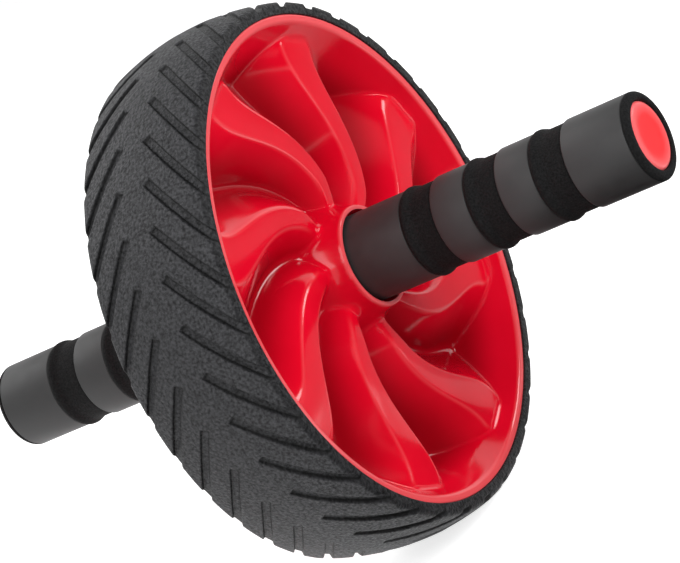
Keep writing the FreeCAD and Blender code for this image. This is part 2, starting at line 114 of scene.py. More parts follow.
def ranged(nodes, links, amount, low, high):
    """Number that goes from low to high with a noise."""
    return spanned(nodes, links, amount, NOISE_LOW, NOISE_HIGH, low, high)


def dress(node, finish):
    """Gives a CAD node that stays in view its finish."""
    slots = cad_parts[node].data.materials
    slots.clear()
    slots.append(finish)


zinc, nodes, links, shader = new_finish("zinc_plating")
cloud = grain_of(nodes, links, ZINC_WAVES, ZINC_DETAIL)
links.new(toned(nodes, links, cloud, ZINC_DARK, ZINC_LIGHT), shader.inputs["Base Color"])
links.new(ranged(nodes, links, cloud, *ZINC_ROUGHNESS), shader.inputs["Roughness"])
shader.inputs["Metallic"].default_value = 1.0
dress("axle_rod", zinc)
dress("bearing_spacer", zinc)
for side in SIDES:
    dress(f"{side}_thrust_washer", zinc)
    dress(f"{side}_handle_washer", zinc)
    dress(f"{side}_handle_bolt", zinc)


# Ball bearings: rings and balls of ground chromium steel, pressed into the bosses of the
# wheel halves, with the inner rings on the axle.
BEARING_DARK = (0.56, 0.56, 0.58)
BEARING_LIGHT = (0.72, 0.72, 0.74)
GRINDING_WAVES = 900.0
GRINDING_DETAIL = 2.0
BEARING_ROUGHNESS = (0.12, 0.22)

ground_steel, nodes, links, shader = new_finish("ground_steel")
grinding = grain_of(nodes, links, GRINDING_WAVES, GRINDING_DETAIL)
links.new(toned(nodes, links, grinding, BEARING_DARK, BEARING_LIGHT), shader.inputs["Base Color"])
links.new(ranged(nodes, links, grinding, *BEARING_ROUGHNESS), shader.inputs["Roughness"])
shader.inputs["Metallic"].default_value = 1.0
for side in SIDES:
    dress(f"{side}_bearing_inner_ring", ground_steel)
    dress(f"{side}_bearing_outer_ring", ground_steel)
    dress(f"{side}_bearing_balls", ground_steel)


# Wheel halves: two equal dishes moulded in glossy red plastic, each with eight ridged blades
# that swirl from a flared boss to a rim whose inside wall leans in. Each boss holds a bearing,
# and four screws from the left draw the two halves together inside the tread.
rim_low, rim_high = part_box("right_wheel_half")
RIM_RADIUS = rim_high.x
RIM_FACE = -rim_low.y
LIP_WIDTH = 0.0028
RIM_INSIDE = RIM_RADIUS - LIP_WIDTH
WALL_RUN = 0.0170
RIM_LEAN = WALL_RUN / RIM_FACE
LIP_BLEND = 0.0014
LIP_OUTER_ROUND = 0.0005
LIP_STEPS = 4
BORE_RADIUS = 0.0115
BEARING_SEAT = 0.01403
BEARING_SHELF = 0.0080
CUP_RADIUS = 0.0173
CUP_FLOOR = 0.0190
CUP_MOUTH = 0.0004
BOSS_LIP = 0.0190
BOSS_SPREAD = 0.0042
BOSS_SINK = 0.0040
BOSS_BLEND = 0.0040
BLADES = 8
BLADE_PITCH = 2.0 * math.pi / BLADES
BLADE_START = math.radians(73.0)
BLADE_SWEEP = math.radians(32.0)
SWEEP_END = 0.0800
DISH_START = 0.0240
CREST_SINK = 0.0055
CREST_HEIGHT = RIM_FACE - CREST_SINK
CREST_CROWN = 0.0003
KNOB_DROP = 0.0020
KNOB_END = 0.0340
CREST_HALF = math.radians(6.2)
CREST_ROUND = 0.0013
TIP_RADIUS = RIM_INSIDE - RIM_LEAN * (RIM_FACE - CREST_HEIGHT)
TIP_ROUND = 0.0045
TIP_BLEND = 0.0030
TIP_BLEND_REACH = 1.4
TIP_BLEND_FADE = 0.8
WALL_BLEND = 0.0010
VALLEY_HUB = 0.0103
VALLEY_RIM = 0.0038
VALLEY_ROUND = 0.0026
CREST_LINES = (0.0, 2.4, 4.0, 4.7, 5.2, 5.7, 6.2, 6.7, 7.2, 7.8, 8.6)
FACE_LINES = 14
FLARE_START = 0.0210
FLARE_END = 0.0290
TIPS_START = 0.0710
LIP_START = RIM_INSIDE - 0.0008
LIP_END = RIM_INSIDE + 0.0010
RING_ZONES = (
    (CUP_RADIUS + CUP_MOUTH, FLARE_START, 12),
    (FLARE_START, FLARE_END, 16),
    (FLARE_END, TIPS_START, 30),
    (TIPS_START, LIP_START, 26),
    (LIP_START, LIP_END, 8),
)
SCREW_COUNT = 4
SCREW_CIRCLE = 0.0620
SCREW_SEAT = 0.0040
WELL_RADIUS = 0.0045
WELL_ROUND = 0.0004
WELL_CLEARING = 0.0062
FEELER_START = 0.1
SHARP_ANGLE = math.radians(50.0)
# Of the reds below, the darkest is painted shade for the valleys and the palest is a painted highlight for
# the lip and the crests' edges.
RED_PAINTED_SHADE = (0.27, 0.0006, 0.005, 1.0)
RED_DEEP = (0.58, 0.0012, 0.013)
RED_BRIGHT = (0.64, 0.0018, 0.017)
RED_PAINTED_HIGHLIGHT = (0.66, 0.070, 0.080, 1.0)
RED_ROUGHNESS = (0.11, 0.15)
VALLEY_SHADE = VALLEY_HUB * 0.7
HIGHLIGHT_DEPTH = 0.0011
HIGHLIGHT_LINE_WIDTH = 0.0010
HIGHLIGHT_SHARE = 0.5
MOULD_WAVES = 40.0


def eased(share):
    """S-curve from 0 to 1."""
    share = min(max(share, 0.0), 1.0)
    return share * share * (3.0 - 2.0 * share)


def blade_angle(radius):
    """Angle of a blade's middle, which swirls round on its way out to the rim."""
    return BLADE_START + BLADE_SWEEP * eased((radius - BOSS_LIP) / (SWEEP_END - BOSS_LIP))


def valley_height(radius):
    """Height of the valleys between the blades above the joint between the halves."""
    share = (RIM_INSIDE - radius) / (RIM_INSIDE - DISH_START)
    return VALLEY_RIM + (VALLEY_HUB - VALLEY_RIM) * max(share, 0.0) ** 2


def smooth_top(first, second, blend):
    """The higher of two heights, blended where they are near each other."""
    share = max(blend - abs(first - second), 0.0) / blend
    return max(first, second) + share * share * blend / 4.0


def smooth_low(first, second, blend):
    """The lower of two heights, blended where they are near each other."""
    return -smooth_top(-first, -second, blend)


def crest_half(radius):
    """Half of a crest's angle, drawn in where its rounded tip meets the rim."""
    reach = min(max(radius - (TIP_RADIUS - TIP_ROUND), 0.0), TIP_ROUND)
    return CREST_HALF - (TIP_ROUND - math.sqrt(TIP_ROUND ** 2 - reach ** 2)) / radius


def blade_height(radius, lean):
    """Height of a blade at a radius, so far round from its middle: a crest with two even faces."""
    crest = CREST_HEIGHT - KNOB_DROP * (1.0 - eased((radius - BOSS_LIP) / (KNOB_END - BOSS_LIP)))
    edge = crest_half(radius)
    slope = (crest - valley_height(radius)) / (BLADE_PITCH / 2.0 - edge) / radius
    flat = crest - CREST_CROWN * (lean / CREST_HALF) ** 2
    face = crest - slope * (abs(lean) - edge) * radius
    next_face = crest - slope * (BLADE_PITCH - abs(lean) - edge) * radius
    return smooth_top(smooth_low(flat, face, CREST_ROUND * slope), next_face, 2.0 * VALLEY_ROUND * slope)


def dish_height(radius, lean):
    """Height of the dish: the blades between the flared boss and the leaning wall of the rim."""
    sunk = valley_height(radius) - BOSS_SINK
    boss = sunk + (RIM_FACE - sunk) * math.exp((BOSS_LIP - radius) / BOSS_SPREAD)
    wall = RIM_FACE - (RIM_INSIDE - radius) / RIM_LEAN
    on_crest = eased((CREST_HALF * TIP_BLEND_REACH - abs(lean)) / (CREST_HALF * TIP_BLEND_FADE))
    tip_blend = WALL_BLEND + (TIP_BLEND - WALL_BLEND) * on_crest
    height = smooth_top(boss, blade_height(radius, lean), BOSS_BLEND)
    return smooth_low(smooth_top(height, wall, tip_blend), RIM_FACE, LIP_BLEND)


def blade_lines():
    """Angles of the lines along one blade, from the valley before it to the valley after it."""
    half = [math.radians(line) for line in CREST_LINES]
    step = (BLADE_PITCH / 2.0 - half[-1]) / FACE_LINES
    half += [half[-1] + step * number for number in range(1, FACE_LINES + 1)]
    return [-lean for lean in reversed(half[1:-1])] + half


def dish_section(lean):
    """Section of a half along one line of a blade, as points of radius, height and angle."""
    start = blade_angle(BOSS_LIP) + lean
    points = [
        (BORE_RADIUS, 0.0, start),
        (BORE_RADIUS, BEARING_SHELF, start),
        (BEARING_SEAT, BEARING_SHELF, start),
        (BEARING_SEAT, CUP_FLOOR, start),
        (CUP_RADIUS, CUP_FLOOR, start),
        (CUP_RADIUS, RIM_FACE - CUP_MOUTH, start),
        (CUP_RADIUS + CUP_MOUTH / 4.0, RIM_FACE - CUP_MOUTH / 4.0, start),
    ]
    for zone_start, zone_end, rings in RING_ZONES:
        for ring in range(rings):
            radius = zone_start + (zone_end - zone_start) * ring / rings
            points.append((radius, dish_height(radius, lean), blade_angle(radius) + lean))
    end = blade_angle(RIM_RADIUS) + lean
    for step in range(LIP_STEPS + 1):
        turn = math.pi / 2.0 * step / LIP_STEPS
        points.append((
            RIM_RADIUS - LIP_OUTER_ROUND * (1.0 - math.sin(turn)),
            RIM_FACE - LIP_OUTER_ROUND * (1.0 - math.cos(turn)),
            end,
        ))
    points.append((RIM_RADIUS, 0.0, end))
    return points


def spun(mesh, corners, edges, steps):
    """Spins the corners and edges of a section once round the axle's line."""
    bmesh.ops.spin(
        mesh, geom=corners + edges, cent=(0.0, 0.0, 0.0), axis=(0.0, 1.0, 0.0),
        angle=2.0 * math.pi, steps=steps, use_merge=True, use_duplicate=False,
    )


def turned(section, steps):
    """A ring from a closed section of radius and place points, whose numbers it keeps."""
    mesh = bmesh.new()
    row = mesh.verts.layers.int.new("row")
    corners = [mesh.verts.new((-radius, place, 0.0)) for radius, place in section]
    for number, corner in enumerate(corners):
        corner[row] = number
    edges = [mesh.edges.new((corners[number - 1], corners[number])) for number in range(len(corners))]
    spun(mesh, corners, edges, steps)
    bmesh.ops.recalc_face_normals(mesh, faces=mesh.faces)
    return mesh


def column_of(vertex, columns):
    """Which step of the spin a vertex belongs to."""
    turn = math.atan2(vertex.co.z, -vertex.co.x) % (2.0 * math.pi)
    return round(turn / (2.0 * math.pi) * columns) % columns


def painted_edge_highlight(radius, lean):
    """How strongly a painted highlight pales the red at a place: most along the edges of the crests."""
    off = abs(abs(lean) - crest_half(radius)) * radius
    inner = eased((radius - DISH_START) / (KNOB_END - DISH_START))
    outer = eased((TIP_RADIUS - radius) / TIP_ROUND)
    return max(1.0 - off / HIGHLIGHT_LINE_WIDTH, 0.0) * inner * outer


def wheel_dish():
    """One half with its outside towards +Y: a turned ring whose lines are bent along the blades."""
    leans = blade_lines()
    sections = [dish_section(lean) for lean in leans]
    lines = len(sections)
    columns = lines * BLADES
    mesh = turned([(radius, height) for radius, height, angle in sections[0]], columns)
    row = mesh.verts.layers.int["row"]
    # The mark made here is a painted highlight along the crests' edges.
    painted_highlight = mesh.verts.layers.float.new("painted_edge_highlight")
    for vertex in mesh.verts:
        column = column_of(vertex, columns)
        radius, height, angle = sections[column % lines][vertex[row]]
        vertex[painted_highlight] = painted_edge_highlight(radius, leans[column % lines])
        angle += column // lines * BLADE_PITCH
        vertex.co = (-radius * math.cos(angle), height, radius * math.sin(angle))
    return mesh


def sink_well(mesh, centre):
    """A round well for a screw head, sunk into a dish down to the screw's seat."""
    surface = BVHTree.FromBMesh(mesh)

    def away(place):
        return Vector((place.x - centre.x, 0.0, place.z - centre.z))

    inside = [
        face for face in mesh.faces
        if face.calc_center_median().y > SCREW_SEAT / 2.0
        and away(face.calc_center_median()).length < WELL_CLEARING
    ]
    rings = (
        (WELL_RADIUS + WELL_ROUND, 0.0),
        (WELL_RADIUS + WELL_ROUND * 0.3, -WELL_ROUND * 0.3),
        (WELL_RADIUS, -WELL_ROUND),
        (WELL_RADIUS, None),
    )
    bmesh.ops.delete(mesh, geom=inside, context="FACES")
    edges = [edge for edge in mesh.edges if edge.is_boundary]
    for radius, drop in rings:
        made = bmesh.ops.extrude_edge_only(mesh, edges=edges)["geom"]
        edges = [item for item in made if isinstance(item, bmesh.types.BMEdge) and item.is_boundary]
        for vertex in {vertex for edge in edges for vertex in edge.verts}:
            place = Vector((centre.x, 0.0, centre.z)) + away(vertex.co).normalized() * radius
            height = SCREW_SEAT
            if drop is not None:
                above = Vector((place.x, FEELER_START, place.z))
                height = surface.ray_cast(above, Vector((0.0, -1.0, 0.0)))[0].y + drop
            vertex.co = (place.x, height, place.z)
    bmesh.ops.edgeloop_fill(mesh, edges=edges)


def faced(mesh, side):
    """Turns a mesh that was made towards +Y, the left, round to its own side."""
    if side == "right":
        turn = Matrix.Rotation(math.pi, 3, "Z")
        bmesh.ops.rotate(mesh, verts=mesh.verts, cent=(0.0, 0.0, 0.0), matrix=turn)
    return mesh


def finished(mesh, name, finish, body, slot, *replaced):
    """Puts a mesh into the scene as a piece that rides on a body and stands for its nodes."""
    data = bpy.data.meshes.new(name)
    bmesh.ops.recalc_face_normals(mesh, faces=mesh.faces)
    mesh.to_mesh(data)
    mesh.free()
    data.shade_smooth()
    data.set_sharp_from_angle(angle=SHARP_ANGLE)
    data.materials.append(finish)
    piece = bpy.data.objects.new(name, data)
    bpy.context.scene.collection.objects.link(piece)
    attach(piece, body)
    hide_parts(*replaced)
    return piece


def figured(nodes, links, operation, *amounts):
    """Result of a sum whose amounts are sockets or plain numbers."""
    figure = nodes.new("ShaderNodeMath")
    figure.operation = operation
    for number, amount in enumerate(amounts):
        if isinstance(amount, float):
            figure.inputs[number].default_value = amount
        else:
            links.new(amount, figure.inputs[number])
    return figure.outputs[0]


def mixed(nodes, links, share, first, second):
    """Colour between two others, which are sockets or fixed colours, by a share from 0 to 1."""
    mix = nodes.new("ShaderNodeMix")
    mix.data_type = "RGBA"
    links.new(share, mix.inputs["Factor"])
    for end, colour in (("A", first), ("B", second)):
        if isinstance(colour, tuple):
            mix.inputs[end].default_value = colour
        else:
            links.new(colour, mix.inputs[end])
    return mix.outputs["Result"]


def marked(nodes, name):
    """Number that a mesh holds for each of its corners under a name."""
    mark = nodes.new("ShaderNodeAttribute")
    mark.attribute_name = name
    return mark.outputs["Fac"]


# Painted shade darkens the red in the valleys; a painted highlight pales it along the lip and crest edges.
gloss_red, nodes, links, shader = new_finish("gloss_red_moulding")
flow = grain_of(nodes, links, MOULD_WAVES)
place = nodes.new("ShaderNodeTexCoord")
parts = nodes.new("ShaderNodeSeparateXYZ")
links.new(place.outputs["Object"], parts.inputs["Vector"])
height = figured(nodes, links, "ABSOLUTE", parts.outputs["Y"])
shade_fade = spanned(nodes, links, height, VALLEY_SHADE, CREST_HEIGHT, curve="SMOOTHSTEP")
red = toned(nodes, links, flow, RED_DEEP, RED_BRIGHT)
red = mixed(nodes, links, shade_fade, RED_PAINTED_SHADE, red)
lip_highlight = spanned(nodes, links, height, RIM_FACE - HIGHLIGHT_DEPTH, RIM_FACE)
crest_highlight = figured(nodes, links, "MULTIPLY", marked(nodes, "painted_edge_highlight"), HIGHLIGHT_SHARE)
painted_highlight = figured(nodes, links, "MAXIMUM", crest_highlight, lip_highlight)
links.new(mixed(nodes, links, painted_highlight, red, RED_PAINTED_HIGHLIGHT), shader.inputs["Base Color"])
links.new(ranged(nodes, links, flow, *RED_ROUGHNESS), shader.inputs["Roughness"])

dish = faced(wheel_dish(), "right")
finished(dish, "right_hub_dish", gloss_red, "wheel", "red_hub", "right_wheel_half")

screw_angle = blade_angle(SCREW_CIRCLE) + BLADE_PITCH / 2.0
left_turn = math.pi - blade_angle(SCREW_CIRCLE) - screw_angle
dish = wheel_dish()
for number in range(SCREW_COUNT):
    angle = screw_angle + 2.0 * math.pi * number / SCREW_COUNT
    sink_well(dish, Vector((-SCREW_CIRCLE * math.cos(angle), 0.0, SCREW_CIRCLE * math.sin(angle))))
bmesh.ops.rotate(dish, verts=dish.verts, cent=(0.0, 0.0, 0.0), matrix=Matrix.Rotation(left_turn, 3, "Y"))
finished(dish, "left_hub_dish", gloss_red, "wheel", "red_hub", "left_wheel_half")


# Wheel screws: zinc-plated steel with pan heads and cross recesses, driven from the left
# through the wells of one half into posts of the other.
HEAD_RADIUS = 0.0039
HEAD_HEIGHT = 0.0026
HEAD_STEPS = 32
SHANK_RADIUS = 0.0020
SHANK_LENGTH = 0.0140
SHANK_POINT = 0.0010
RECESS_REACH = 0.0021
RECESS_HALF_WIDTH = 0.0005
RECESS_DEPTH = 0.0014
RECESS_FLOOR = 0.75
MERGE_GAP = 0.00001


def pan_screw(mesh, angle):
    """One screw, turned round its own axis, with a cross pressed into its head."""
    profile = [
        (0.0, -SHANK_LENGTH),
        (SHANK_RADIUS * 0.6, -SHANK_LENGTH),
        (SHANK_RADIUS, -SHANK_LENGTH + SHANK_POINT),
        (SHANK_RADIUS, 0.0),
        (HEAD_RADIUS, 0.0),
        (HEAD_RADIUS, HEAD_HEIGHT * 0.35),
        (HEAD_RADIUS * 0.95, HEAD_HEIGHT * 0.65),
        (HEAD_RADIUS * 0.82, HEAD_HEIGHT * 0.90),
        (HEAD_RADIUS * 0.64, HEAD_HEIGHT),
    ]
    corners = [mesh.verts.new((radius, place, 0.0)) for radius, place in profile]
    edges = [mesh.edges.new(pair) for pair in zip(corners, corners[1:])]
    spun(mesh, corners, edges, HEAD_STEPS)
    screw = [vertex for vertex in mesh.verts if not vertex.tag]
    bmesh.ops.remove_doubles(mesh, verts=screw, dist=MERGE_GAP)
    rim = [edge for edge in mesh.edges if edge.is_boundary]
    for reach, place in ((1.0, HEAD_HEIGHT), (RECESS_FLOOR, HEAD_HEIGHT - RECESS_DEPTH)):
        made = bmesh.ops.extrude_edge_only(mesh, edges=rim)["geom"]
        rim = [item for item in made if isinstance(item, bmesh.types.BMEdge) and item.is_boundary]
        for vertex in {vertex for edge in rim for vertex in edge.verts}:
            turn = math.atan2(vertex.co.z, vertex.co.x)
            quarter = round(turn / (math.pi / 2.0)) * math.pi / 2.0
            lean = abs(turn - quarter)
            length = RECESS_HALF_WIDTH / max(math.sin(lean), 0.001)
            length = min(length, RECESS_REACH / math.cos(lean)) * reach
            vertex.co = (length * math.cos(turn), place, length * math.sin(turn))
    bmesh.ops.edgeloop_fill(mesh, edges=rim)
    screw = [vertex for vertex in mesh.verts if not vertex.tag]
    place = Matrix.Rotation(angle, 4, "Y") @ Matrix.Translation((-SCREW_CIRCLE, SCREW_SEAT, 0.0))
    bmesh.ops.transform(mesh, matrix=place, verts=screw)
    for vertex in screw:
        vertex.tag = True


screws = bmesh.new()
for number in range(SCREW_COUNT):
    pan_screw(screws, left_turn + screw_angle + 2.0 * math.pi * number / SCREW_COUNT)
finished(screws, "hub_screws", zinc, "wheel", "zinc_steel", "wheel_screws")


# Tread: one wide tyre of charcoal rubber, moulded with a crown, a fine grained skin and two
# rows of slanted slots that run out through the shoulders. Painted shade darkens the slots'
# edges and corners and the shoulders. It is stretched over the rims.
tread_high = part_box("tread")[1]
TREAD_RADIUS = tread_high.x
TREAD_HALF = tread_high.y
TREAD_BORE = RIM_RADIUS
CROWN_RADIUS = 0.0871
CROWN_LINES = (
    0.0, 0.0019, 0.0037, 0.0051, 0.0055, 0.0058, 0.0064, 0.0080,
    0.0105, 0.0130, 0.0155, 0.0180, 0.0205, 0.0225, 0.0238,
)
SHOULDER_START = 0.0241
SHOULDER = ((0.0002, 0.0011), (0.0006, 0.0006), (0.0012, 0.0002), (0.0020, 0.0), (0.0036, 0.0))
BORE_EDGE = ((0.0004, 0.0), (0.0, 0.0), (0.0, 0.0006))
SLOT_COUNT = 36
SLOT_PITCH = 2.0 * math.pi / SLOT_COUNT
SLOT_PHASE = math.radians(1.0)
SLOT_SLANT = math.radians(53.0)
SLOT_WIDTH = 0.0033
SLOT_HALF = SLOT_WIDTH / 2.0 / math.cos(SLOT_SLANT)
SLOT_DEPTH = 0.0008
SHOULDER_DEPTH = 0.0018
SLOT_WALL = 0.0003 / math.cos(SLOT_SLANT)
SLOT_CORNER = 0.0004 / math.cos(SLOT_SLANT)
SLOT_EDGE = 0.0006
SLOT_START = 0.0056
SLOT_END_WALL = 0.0004
SLOT_END_TILT = 0.55
SLOT_END_REACH = 0.0050
BLOCK_FOLLOW = 0.6
BLOCK_LINES = (0.25, 0.5, 0.75)
SHADE_RIM = 0.5
SHADE_CORNER = 1.0
SHADE_FLOOR = 0.1
SHADE_SHOULDER = 0.5
SHOULDER_SHADE_WIDTH = 0.0007
TREAD_UNEVEN = 0.00012
TREAD_UNEVEN_WAVES = 40.0
TREAD_UNEVEN_ACROSS = 10.0
BORE_CLEAR = 0.001
RUBBER_DARK = (0.004, 0.004, 0.0045)
RUBBER_LIGHT = (0.055, 0.055, 0.060)
# The near-black below is painted shade for the slots' edges and corners and for the shoulders.
RUBBER_PAINTED_SHADE = (0.002, 0.002, 0.002, 1.0)
RUBBER_ROUGHNESS = (0.68, 0.48)
RUBBER_SPECULAR = 0.4
RUBBER_WAVES = 950.0
RUBBER_RELIEF = 0.00070


def crown(place):
    """Radius of the tread's crowned top at a place across it."""
    return TREAD_RADIUS - CROWN_RADIUS + math.sqrt(CROWN_RADIUS ** 2 - place ** 2)


def slot_lines(half_pitch):
    """Lines along one slot and the block after it: offset round the tread, cut or not, and shade."""
    floor = SLOT_HALF - SLOT_WALL
    block_start = SLOT_HALF + SLOT_EDGE
    slot = [
        (block_start, False, 0.0),
        (SLOT_HALF, False, SHADE_RIM),
        (floor, True, SHADE_CORNER),
        (floor - SLOT_CORNER, True, SHADE_FLOOR),
    ]
    block = 2.0 * half_pitch - 2.0 * block_start
    lines = [(-offset, cut, shade) for offset, cut, shade in slot] + slot[::-1]
    return lines + [(block_start + block * share, False, 0.0) for share in BLOCK_LINES]


def tread_rows():
    """Section of the tread as radius and place, from one side of the bore round to the other."""
    half = [(crown(place), place) for place in CROWN_LINES]
    edge = crown(SHOULDER_START)
    half += [(edge - drop, TREAD_HALF - inset) for drop, inset in SHOULDER]
    half += [(TREAD_BORE + shade_fade, TREAD_HALF - inset) for shade_fade, inset in BORE_EDGE]
    return [(radius, -place) for radius, place in reversed(half[1:])] + half


def pressed(nodes, links, shader, amount, height):
    """Relief of a height in metres on the surface."""
    bump = nodes.new("ShaderNodeBump")
    bump.inputs["Distance"].default_value = height
    links.new(amount, bump.inputs["Height"])
    links.new(bump.outputs["Normal"], shader.inputs["Normal"])


half_pitch = math.pi * TREAD_RADIUS / SLOT_COUNT
lines = slot_lines(half_pitch)
rows = tread_rows()
columns = len(lines) * SLOT_COUNT
tyre = turned(rows, columns)
row = tyre.verts.layers.int["row"]
corner_shade = tyre.verts.layers.float.new("corner_shade")
for vertex in tyre.verts:
    column = column_of(vertex, columns)
    radius, place = rows[vertex[row]]
    offset, cut, shade = lines[column % len(lines)]
    across = abs(place)
    # Painted shade: the slots' edges and corners, and the shoulders, are marked to be darker.
    if across > SLOT_START:
        vertex[corner_shade] = shade
    if across > TREAD_HALF - SHOULDER_SHADE_WIDTH:
        vertex[corner_shade] = max(shade, SHADE_SHOULDER)
    if cut and across > SLOT_START:
        depth = SLOT_DEPTH + (SHOULDER_DEPTH - SLOT_DEPTH) * across / TREAD_HALF
        radius = min(radius, crown(across) - depth)
        if across < SLOT_START + SLOT_END_WALL:
            vertex[corner_shade] = SHADE_CORNER
    # The inner end of a slot is askew, and the block beside it follows.
    lean = offset if offset <= half_pitch else offset - 2.0 * half_pitch
    if abs(lean) > SLOT_HALF + SLOT_EDGE:
        lean = math.copysign(half_pitch - abs(lean), lean) * BLOCK_FOLLOW
    fade = max(1.0 - abs(across - SLOT_START) / SLOT_END_REACH, 0.0)
    across -= SLOT_END_TILT * lean * fade
    slant = math.tan(SLOT_SLANT) * (across - SLOT_START)
    angle = SLOT_PHASE + column // len(lines) * SLOT_PITCH + (offset + slant) / TREAD_RADIUS
    # The moulded rubber is a little uneven outside its bore.
    if radius > TREAD_BORE + BORE_CLEAR:
        spot = Vector((math.cos(angle), place * TREAD_UNEVEN_ACROSS, math.sin(angle))) * TREAD_UNEVEN_WAVES
        radius -= TREAD_UNEVEN * (1.0 + noise.noise(spot))
        angle += TREAD_UNEVEN / TREAD_RADIUS * 1.5 * noise.noise(spot * 1.7)
    place = math.copysign(across, place) if place != 0.0 else 0.0
    vertex.co = (radius * math.cos(angle), place, radius * math.sin(angle))

rubber, nodes, links, shader = new_finish("grained_rubber")
grain = grain_of(nodes, links, RUBBER_WAVES)
black = toned(nodes, links, grain, RUBBER_DARK, RUBBER_LIGHT)
black = mixed(nodes, links, marked(nodes, "corner_shade"), black, RUBBER_PAINTED_SHADE)
links.new(black, shader.inputs["Base Color"])
links.new(ranged(nodes, links, grain, *RUBBER_ROUGHNESS), shader.inputs["Roughness"])
shader.inputs["Specular IOR Level"].default_value = RUBBER_SPECULAR
pressed(nodes, links, shader, grain, RUBBER_RELIEF)
tyre_piece = finished(tyre, "slotted_tyre", rubber, "wheel", "tread_rubber", "tread")
soften = tyre_piece.modifiers.new("soft_edges", "SUBSURF")
soften.levels = 1
soften.render_levels = 1


# Handle cores: black moulded tubes pushed onto the axle and held by the bolts. The foam
# sleeves cover them.
CORE_DARK = (0.012, 0.012, 0.013)
CORE_LIGHT = (0.022, 0.022, 0.024)
CORE_ROUGHNESS = (0.55, 0.45)
CORE_WAVES = 500.0
CORE_DETAIL = 2.0

core_plastic, nodes, links, shader = new_finish("black_moulding")
texture = grain_of(nodes, links, CORE_WAVES, CORE_DETAIL)
links.new(toned(nodes, links, texture, CORE_DARK, CORE_LIGHT), shader.inputs["Base Color"])
links.new(ranged(nodes, links, texture, *CORE_ROUGHNESS), shader.inputs["Roughness"])
for side in SIDES:
    dress(f"{side}_handle_core", core_plastic)


# Foam sleeves: fine black foam tubes pulled over the cores. They show between the grey bands,
# with a soft bead at the left end of each bare stretch, and end in a rounded ring.
core_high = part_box("left_handle_core")[1]
sleeve_low, sleeve_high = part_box("left_foam_sleeve")
CORE_RADIUS = core_high.x
CORE_END = core_high.y
SLEEVE_START = sleeve_low.y
SLEEVE_END = sleeve_high.y
FOAM_WALL = 0.0020
SEAT_RADIUS = CORE_RADIUS + FOAM_WALL
FOAM_RADIUS = 0.0155
FOAM_EDGE = 0.0003
BEAD_RADIUS = sleeve_high.x
BEAD_FRONT = ((0.0008, 0.0), (0.0003, 0.0002), (0.0, 0.0009), (0.0, 0.0017))
BEAD_FALL = ((0.2, 0.0026), (0.6, 0.0035), (0.9, 0.0044))
FLAT_START = 0.0055
FLAT_STEP = 0.0012
FLAT_LINES = 6
RING_FRONT = 0.0002
RING_ROUND = 0.0027
RING_LENGTH = 0.0026
RING_STEPS = 10
CAP_WELL = 0.0126
CAP_WELL_EDGE = ((0.0002, 0.0003), (0.0, 0.0008))
BANDS = 4
TURNED_STEPS = 144
FOAM_UNEVEN = 0.00008
FOAM_UNEVEN_WAVES = 900.0
SEAT_CLEAR = 0.0005
FOAM_DARK = (0.0035, 0.0035, 0.0037)
FOAM_LIGHT = (0.012, 0.012, 0.0125)
FOAM_ROUGHNESS = (0.95, 0.80)
FOAM_SPECULAR = 0.25
FOAM_WAVES = 1500.0
FOAM_RELIEF = 0.00018

band_ends = []
for number in range(1, BANDS + 1):
    band_low, band_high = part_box(f"left_grip_band_{number}")
    band_ends.append((band_low.y, band_high.y))
BAND_RADIUS = band_high.x


def bare_stretch(start, stop):
    """Section of the foam between two bands, with its bead at the start."""
    drop = BEAD_RADIUS - FOAM_RADIUS
    points = [(SEAT_RADIUS, start)]
    points += [(BEAD_RADIUS - sink, start + along) for sink, along in BEAD_FRONT]
    points += [(BEAD_RADIUS - drop * share, start + along) for share, along in BEAD_FALL]
    points += [(FOAM_RADIUS, start + FLAT_START + FLAT_STEP * step) for step in range(FLAT_LINES)]
    points += [(FOAM_RADIUS, stop - FOAM_EDGE), (FOAM_RADIUS - FOAM_EDGE, stop), (SEAT_RADIUS, stop)]
    return points


def sleeve_section(side):
    """Section of a sleeve: the bare stretches and the end ring, then the bore."""
    points = [(SEAT_RADIUS, SLEEVE_START)]
    for (_, stop), (next_start, _) in zip(band_ends, band_ends[1:]):
        stretch = bare_stretch(stop, next_start)
        if side == "left":
            stretch = [(radius, stop + next_start - place) for radius, place in reversed(stretch)]
        points += stretch
    last = band_ends[-1][1]
    front = last + RING_FRONT
    points += [(SEAT_RADIUS, last), (BAND_RADIUS - FOAM_EDGE, last), (BAND_RADIUS, front)]
    for step in range(1, RING_STEPS + 1):
        turn = math.pi / 2.0 * step / RING_STEPS
        points.append((
            BAND_RADIUS - RING_ROUND * (1.0 - math.cos(turn)),
            front + (SLEEVE_END - front) * math.sin(turn),
        ))
    points += [(CAP_WELL + out, SLEEVE_END - sink) for out, sink in CAP_WELL_EDGE]
    return points + [(CAP_WELL, CORE_END), (CORE_RADIUS, CORE_END), (CORE_RADIUS, SLEEVE_START)]


